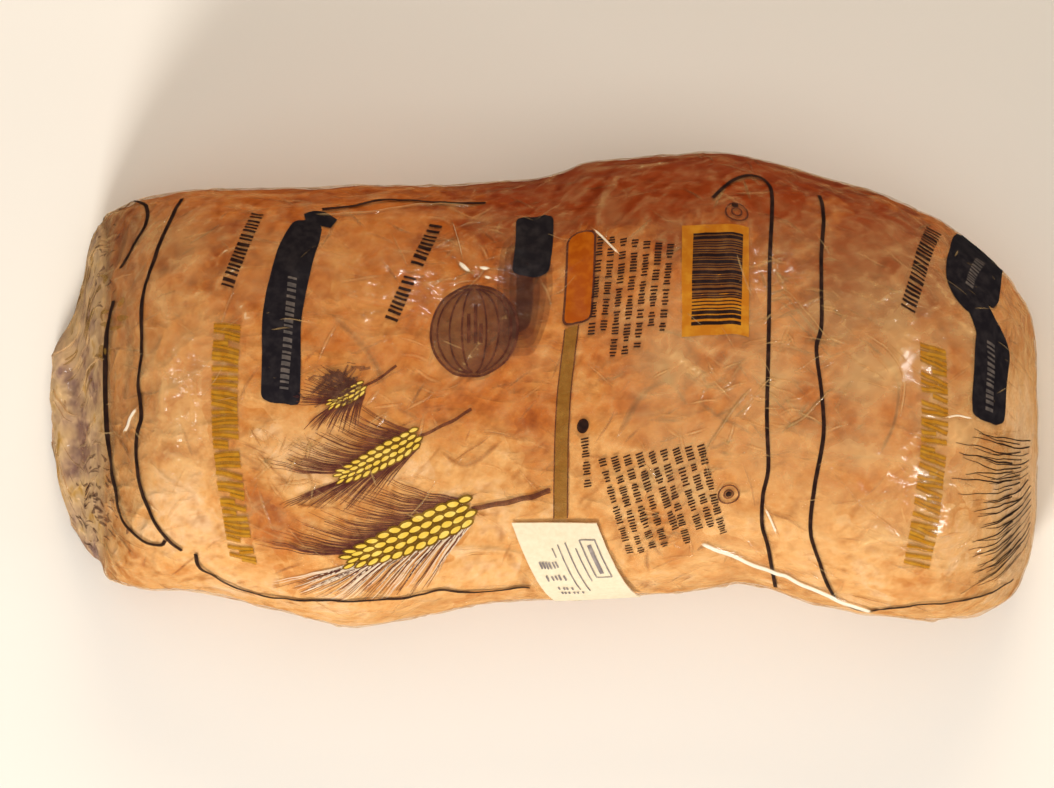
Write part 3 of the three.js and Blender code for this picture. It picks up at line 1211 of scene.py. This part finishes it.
# Large gold words as rows of plain strokes
goldWords = [
    [(-92.5, 20), (-93.4, -3), (-92.2, -23), (-89.6, -43.5), (-87.8, -51)],
    [(113.7, 13), (114, -11.5), (112.5, -32), (109, -53)],
]
goldStroke = {
    "reaches": (3.9, 3.9, 3.9, 2.2),
    "shift": 1.6,  # how far the short ones stand off the middle
    "lean": 12,
    "wide": (0.6, 1.0),
    "gaps": (1.6, 1.8, 2.1, 3.0),
    "edge": 1.1,
}


def goldStrokes(corners, chooser):
    path = sheetPath(corners, 0.5)
    lengths = lengthsAlong(path)
    strokes = []
    at = 1
    while at < lengths[-1] - 1:
        i = int(np.searchsorted(lengths, at))
        side = sideways(path[i - 1], path[i])[1]
        way = turned(side, chooser.uniform(-goldStroke["lean"], goldStroke["lean"]))
        reach = chooser.choice(goldStroke["reaches"])
        middle = path[i]
        if reach < max(goldStroke["reaches"]):
            middle = middle + side * chooser.choice((-goldStroke["shift"], goldStroke["shift"]))
        strokes.append(crossStroke(middle, way, reach, chooser.uniform(*goldStroke["wide"])))
        at += chooser.choice(goldStroke["gaps"])
    return strokes


goldChooser = random.Random(17)
goldRows = [stroke for corners in goldWords for stroke in goldStrokes(corners, goldChooser)]
goldEdges = [(path, wide + goldStroke["edge"]) for path, wide in goldRows]
inkPiece("gold_words_edge", goldEdges, 2, "low", "honey")
inkPiece("gold_words", goldRows, 2, "middle", "gold")

# Orange tab with a dark edge, and the olive stripe under it
tab = sheetPath([(11.2, 46.5), (10.6, 33), (9.7, 19.5)], 0.6)
inkPiece("tab_edge", [(tab, roundedWidths(tab, 8.9, 3.0))], 8, "low", "plum")
inkPiece("tab", [(tab[1:-1], roundedWidths(tab[1:-1], 7.5, 2.4))], 8, "middle", "orange")
stripe = sheetPath([(8.2, 18.5), (6, -2), (5.2, -20), (5, -38)], 1)
inkPiece("stripe", [(stripe, 3.9)], 4, "low", "olive")
inkPiece("stripe_edges", [(stripe + (d, 0), 0.35) for d in (-2, 2)], 1, "middle", "plum")


# Round marks: an oval with ribs and a few strokes, small rings and dots
ovalMark = {
    "middle": (-20.3, 17.5),
    "size": (26, 29),
    "rim": 0.7,
    "ribs": (-3, -2, -1, 1, 2, 3),
    "ribReach": (3.6, 13.2),  # out for each rib, and up
    "rib": 0.55,
    "strokes": [(-1.6, 5), (0.4, 8), (2, 2)],  # off the middle, and how far up
    "strokeFoot": -4,
}
ringMarks = [((56.5, 52.5), 6.5), ((54, -30.5), 6)]
dotMarks = [((11.5, -10.5), 3.4, 4.4), ((56, 54.5), 2, 2), ((54, -30.5), 1.8, 1.8)]


def around(angle, out, up):
    return np.stack([np.cos(angle) * out, np.sin(angle) * up], axis=1)


def ringStroke(middle, across, high, wide):
    angle = np.linspace(0, 2 * math.pi, max(16, int(across * 4)))
    return (onSheet(*middle) + around(angle, across / 2, high / 2), wide)


def discStroke(middle, across, high):
    steps = 19
    s = np.sin(np.linspace(-0.5, 0.5, steps) * math.pi)
    path = onSheet(*middle) + np.stack([np.zeros(steps), s * high / 2], axis=1)
    return (path, across * np.sqrt(np.maximum(1 - s * s, 0.003)))


def printMarks():
    across, high = ovalMark["size"]
    inkPiece("oval", [discStroke(ovalMark["middle"], across, high)], 10, "low", "smoke")
    lines = [ringStroke(ovalMark["middle"], across - 0.6, high - 0.6, ovalMark["rim"])]
    centre = onSheet(*ovalMark["middle"])
    angle = np.linspace(-0.46, 0.46, 24) * math.pi
    out, up = ovalMark["ribReach"]
    for k in ovalMark["ribs"]:
        lines.append((centre + around(angle, out * k, up), ovalMark["rib"]))
    for d, top in ovalMark["strokes"]:
        lines.append((straight(centre + (d, ovalMark["strokeFoot"]), centre + (d, top)), 1.0))
    for spot, size in ringMarks:
        lines += [ringStroke(spot, size, size, 0.5), ringStroke(spot, size * 0.45, size * 0.45, 0.5)]
    inkPiece("mark_lines", lines, 1, "middle", "plum")
    dots = [discStroke(*dot) for dot in dotMarks]
    inkPiece("mark_dots", dots, 4, "middle", "dark")


printMarks()

# Wheat ears: base and tip of the grains, end of the stem, sizes in mm, and how the hairs lean
# off the tip's direction in degrees: upper side from base to tip, then lower side
ears = [
    {"base": (-21, -35), "tip": (-58.5, -50), "stemEnd": (2, -29), "stem": 1.7, "width": 12, "columns": 11,
     "hair": 28, "hairs": 190, "lean": (40, 10, 42, 16)},
    {"base": (-36.5, -13.5), "tip": (-60.5, -25.5), "stemEnd": (-21, -5.5), "stem": 1.0, "width": 7.5,
     "columns": 10, "hair": 22, "hairs": 130, "lean": (52, 18, 22, 8)},
    {"base": (-52.5, 1), "tip": (-63, -4.5), "stemEnd": (-43, 7), "stem": 0.8, "width": 4.5, "columns": 6,
     "hair": 12, "hairs": 80, "lean": (62, 20, 48, 14)},
]
earShape = {
    "huskLength": 1.35,  # in grain pitches
    "huskWidth": 1.1,
    "grain": (0.7, 0.58),  # a grain's share of its husk, along and across
    "hairRoot": 0.42,  # of the width
    "hair": 0.44,
    "hairBow": -0.04,
}
lastEar = {"corner": (144, -15), "hairs": 48, "pitch": -1.15, "lean": -12, "fan": 0.9, "reach": (8, 19)}
wornEar = {"middle": (-60, 1), "spread": (3.5, 2.8), "strokes": 70, "reach": (1, 3), "wide": (0.3, 0.9)}


def almond(middle, way, length, wide):
    t = np.linspace(-1, 1, 11)
    return (middle + way * t[:, None] * length / 2, wide * np.maximum(1 - t * t, 0.02) ** 0.62)


def earStrokes(ear, chooser):
    base, tip = onSheet(*ear["base"]), onSheet(*ear["tip"])
    along, side, length = sideways(base, tip)
    pitch = length / ear["columns"]
    grains, hairs = [], []
    for i in range(ear["columns"]):
        full = math.sin(math.pi * (0.30 + 0.60 * (i + 0.5) / ear["columns"])) ** 0.7
        for k in range(4):
            offset = (k - 1.5) / 4 * ear["width"] * full
            shift = pitch * (i + (0.75 if k % 2 else 0.25))
            way = turned(along, 10 * (k - 1.5))
            husk = (pitch * earShape["huskLength"], ear["width"] / 4 * full * earShape["huskWidth"])
            grains.append((base + along * shift + side * offset, way, *husk))
    for n in range(ear["hairs"]):
        share = (n + 0.5) / ear["hairs"]
        upper = -1 if n % 2 else 1
        first, last = ear["lean"][:2] if upper < 0 else ear["lean"][2:]
        root = base + along * length * (0.04 + 0.98 * share)
        root = root + side * upper * ear["width"] * earShape["hairRoot"] * (1 - 0.6 * share)
        way = turned(along, upper * (first + (last - first) * share + chooser.uniform(-5, 5)))
        reach = ear["hair"] * chooser.uniform(0.55, 1.0)
        bow = turned(way, upper * 90) * reach * earShape["hairBow"]
        path = smoothPath([root, root + way * reach / 2 + bow, root + way * reach], 1.6)
        hairs.append((path, earShape["hair"] * (1 - 0.7 * np.linspace(0, 1, len(path)))))
    stemEnd = onSheet(*ear["stemEnd"])
    stem = smoothPath([base, (base + stemEnd) / 2 + (0, -0.6), stemEnd])
    return grains, hairs, [(stem, ear["stem"])]


def lastEarHairs(chooser):
    # The next ear's hairs, at the tucked end
    corner = onSheet(*lastEar["corner"])
    hairs = []
    for k in range(lastEar["hairs"]):
        root = corner + (-3 * (k % 3), lastEar["pitch"] * k)
        way = turned((-1, 0), lastEar["lean"] + lastEar["fan"] * k + chooser.uniform(-9, 9))
        reach = chooser.uniform(*lastEar["reach"])
        bent = turned(way, 90) * reach * chooser.uniform(-0.08, 0.08)
        path = smoothPath([root, root + way * reach / 2 + bent, root + way * reach])
        hairs.append((path, np.linspace(chooser.uniform(0.4, 0.9), 0.2, len(path))))
    return hairs


def wornStrokes(chooser):
    # The worn part of the top ear
    strokes = []
    for _ in range(wornEar["strokes"]):
        spot = [place + far * chooser.gauss(0, 1) for place, far in zip(wornEar["middle"], wornEar["spread"])]
        half = turned((1, 0), chooser.gauss(25, 25)) * chooser.uniform(*wornEar["reach"])
        strokes.append(crossStroke(onSheet(*spot), half, 1, chooser.uniform(*wornEar["wide"])))
    return strokes


def printEars():
    chooser = random.Random(21)
    husks, grains, hairs, paleHairs, stems = [], [], [], [], []
    long, across = earShape["grain"]
    for ear in ears:
        almonds, allHairs, stem = earStrokes(ear, chooser)
        husks += [almond(*shape) for shape in almonds]
        grains += [almond(middle, way, length * long, wide * across) for middle, way, length, wide in almonds]
        paleHairs += allHairs[0::4] if ear is ears[0] else []
        hairs += [hair for k, hair in enumerate(allHairs) if ear is not ears[0] or k % 4]
        stems += stem
    inkPiece("last_ear_hairs", lastEarHairs(chooser), 1, "low", "dark")
    inkPiece("ear_shade", wornStrokes(chooser), 1, "top", "smoke")
    inkPiece("ear_hairs", hairs, 1, "low", "hair")
    inkPiece("ear_pale_hairs", paleHairs, 1, "low", "cream")
    inkPiece("ear_stems", stems, 2, "low", "plum")
    inkPiece("ear_husks", husks, 2, "middle", "husk")
    inkPiece("ear_grains", grains, 2, "high", "straw")


printEars()


# Worn print in the gathered tail: short crooked strokes and stains
tailMarks = [
    # piece, middle and reach in mm, how many, length, width, ink
    ("tail_print", (-134, -36), (9, 15), 80, (1, 3.5), (0.5, 1.6), "smoke"),
    ("tail_top_print", (-132, 38), (6, 18), 40, (1, 3), (0.4, 1.1), "smoke"),
    ("tail_stains", (-134, 24), (7, 24), 34, (2, 6), (0.8, 2.4), "stain"),
]
tailTip = -141  # none lies further left


def printTail():
    chooser = random.Random(31)
    for name, middle, reach, count, length, wide, ink in tailMarks:
        strokes = []
        for _ in range(count):
            spot = onSheet(*(place + chooser.gauss(0, 0.5) * far for place, far in zip(middle, reach)))
            spot[0] = max(spot[0], tailTip)
            half = turned((1, 0), chooser.uniform(0, 180)) * chooser.uniform(*length) / 2
            bow = turned(half, 90) * chooser.uniform(-0.5, 0.5)
            path = smoothPath([spot - half, spot + bow, spot + half], 1)
            strokes.append((path, chooser.uniform(*wide) * (0.3 + 0.7 * endTaper(path, 1.5))))
        inkPiece(name, strokes, 2, "low", ink)


printTail()


# Print on the price label: bars, thin lines and a boxed row, in mm from its top left corner
paper = {"corner": (-9.5, -38.5), "lean": 19}
labelBars = [
    ((3.5, 16), (9.5, 16), 3.0),
    ((3.5, 22), (9, 22), 2.6),
    ((5, 28), (10, 28), 1.6),
    ((5, 31), (12, 31), 1.2),
]
labelLines = [((11, 8), (11, 29)), ((13.5, 7), (13.5, 30)), ((16, 9), (16, 24)), ((9, 9), (9, 13))]
labelBox = [(18, 6), (22.5, 6), (22.5, 22), (18, 22), (18, 6)]
boxedRow = ((20.2, 8), (20.2, 20), 1.1)


def onLabel(u, v):
    lean = math.radians(paper["lean"])
    x = paper["corner"][0] + u + v * math.sin(lean)
    ring = ringAt(x * mm)
    girth = lengthsAlong(ring)[-1]
    return onSheet(x, paper["corner"][1]) - (0, v * math.cos(lean) * sheet["girth"] / girth)


def onLabelLine(a, b, wide, chooser=None):
    # A row of short dashes across the line, or the line itself
    a, b = np.array(a, float), np.array(b, float)
    if not chooser:
        return [(np.array([onLabel(*(a + (b - a) * t)) for t in np.linspace(0, 1, 12)]), wide)]
    strokes = []
    at = 0
    while at < 1:
        spot = a + (b - a) * at
        strokes.append((np.array([onLabel(spot[0], spot[1] + d * wide / 2) for d in (-1, 0, 1)]), 0.5))
        at += chooser.choice((0.9, 1.1, 1.5)) / np.linalg.norm(b - a)
    return strokes


def printLabel():
    chooser = random.Random(2)
    strokes = []
    for a, b, wide in labelBars:
        strokes += onLabelLine(a, b, wide, chooser)
    for a, b in labelLines:
        strokes += onLabelLine(a, b, 0.3)
    for a, b in zip(labelBox, labelBox[1:]):
        strokes += onLabelLine(a, b, 0.35)
    strokes += onLabelLine(*boxedRow)
    inkPiece("label_print", strokes, 1, "label", "grey")


printLabel()
print("ink laid out:", len(printed), "pieces")


def followFilm(film):
    # The flat sheet takes the film's drawn shape, and every piece of ink bound to it goes along
    flatSheet = addObject("flat_sheet", film.data.copy())
    drawnPoints = readPoints(film)
    writePoints(flatSheet, readFlat(film))
    flatSheet.shape_key_add(name="flat")
    drawnKey = flatSheet.shape_key_add(name="drawn")
    drawnKey.data.foreach_set("co", drawnPoints.astype(np.float32).ravel())
    for piece in printed:
        binding = piece.modifiers.new("follow", "SURFACE_DEFORM")
        binding.target = flatSheet
        pick(piece)
        bpy.ops.object.surfacedeform_bind(modifier="follow")
        if not binding.is_bound:
            raise RuntimeError(piece.name + " didn't bind to the film")
    drawnKey.value = 1
    bpy.context.view_layer.update()
    for piece in printed:
        pick(piece)
        bpy.ops.object.modifier_apply(modifier="follow")
        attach(piece, "root")
    bpy.data.objects.remove(flatSheet)


followFilm(film)
print("ink follows the film")

label.data.materials.clear()
label.data.materials.append(paperMaterial())

# What shows and what rides
for piece, slotName in ((crust, "crust"), (film, "film")):
    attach(piece, "root")
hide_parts("bag")

# Floor, lights and camera
studio = {
    "floorSize": 4,
    "floorColour": (0.86, 0.85, 0.84, 1),
    "floorRoughness": 0.8,
    "cameraHeight": 3.5,
    "frameWidth": 0.3118,  # at the height where the bag is widest
    "widest": 0.42,  # that height, as a share of the bag's
    "middle": (-4.9 * mm, -1.2 * mm),
    "world": (1, 0.97, 0.92, 1),
    "worldStrength": 0.03,
    "glint": (1.0, 0.98, 0.95),
    "aim": (0, 0, 0.04),
}
lights = [
    # name, place, size along and up, power, colour
    ("key", (-0.45, -1.2, 0.72), (0.4, 0.4), 20.5, (1.0, 0.93, 0.82)),
    ("ceiling", (0, 0.1, 1.8), (2.2, 2.2), 18.5, (1.0, 0.94, 0.85)),
    ("back", (0.2, 1.3, 0.9), (0.8, 0.8), 13, (1.0, 0.78, 0.52)),
    ("side", (1.4, -0.35, 0.35), (0.5, 0.5), 7, (1.0, 0.93, 0.82)),
]
glints = [
    # small bright lamps that only the film's shine shows
    ("glintFront", (0.66, -0.50, 0.66), (0.05, 0.6), 3),
    ("glintBack", (0.12, 0.80, 1.05), (0.08, 0.08), 0.6),
    ("glintLeft", (-1.15, -0.10, 0.65), (0.08, 0.08), 0.5),
    ("glintRight", (0.90, 0.30, 0.90), (0.08, 0.08), 0.6),
]


def addLamp(name, place, size, power, colour):
    data = bpy.data.lights.new(name, "AREA")
    data.shape = "RECTANGLE"
    data.size, data.size_y = size
    data.energy = power
    data.color = colour
    lamp = addObject(name, data)
    lamp.location = place
    lamp.rotation_euler = (Vector(studio["aim"]) - Vector(place)).to_track_quat("-Z", "Y").to_euler()
    return lamp


def buildStudio():
    bpy.ops.object.select_all(action="DESELECT")
    bpy.ops.mesh.primitive_plane_add(size=studio["floorSize"])
    floor = bpy.context.active_object
    floor.name = "floor"
    floor.visible_glossy = False
    material, nodes, links = newMaterial("pale_floor")
    nodes["Principled BSDF"].inputs["Base Color"].default_value = studio["floorColour"]
    nodes["Principled BSDF"].inputs["Roughness"].default_value = studio["floorRoughness"]
    floor.data.materials.append(material)
    for lamp in lights:
        addLamp(*lamp).visible_glossy = False
    for lamp in glints:
        addLamp(*lamp, studio["glint"]).visible_diffuse = False
    world = bpy.data.worlds.new("studio")
    world.use_nodes = True
    world.node_tree.nodes["Background"].inputs["Color"].default_value = studio["world"]
    world.node_tree.nodes["Background"].inputs["Strength"].default_value = studio["worldStrength"]
    bpy.context.scene.world = world
    bpy.context.scene.view_settings.view_transform = "Standard"
    camera = addObject("camera", bpy.data.cameras.new("camera"))
    camera.location = (*studio["middle"], studio["cameraHeight"])
    distance = studio["cameraHeight"] - cadBox[1].z * studio["widest"]
    camera.data.lens = camera.data.sensor_width * distance / studio["frameWidth"]
    camera.data.clip_start = 0.05
    bpy.context.scene.camera = camera


buildStudio()
print("studio set")
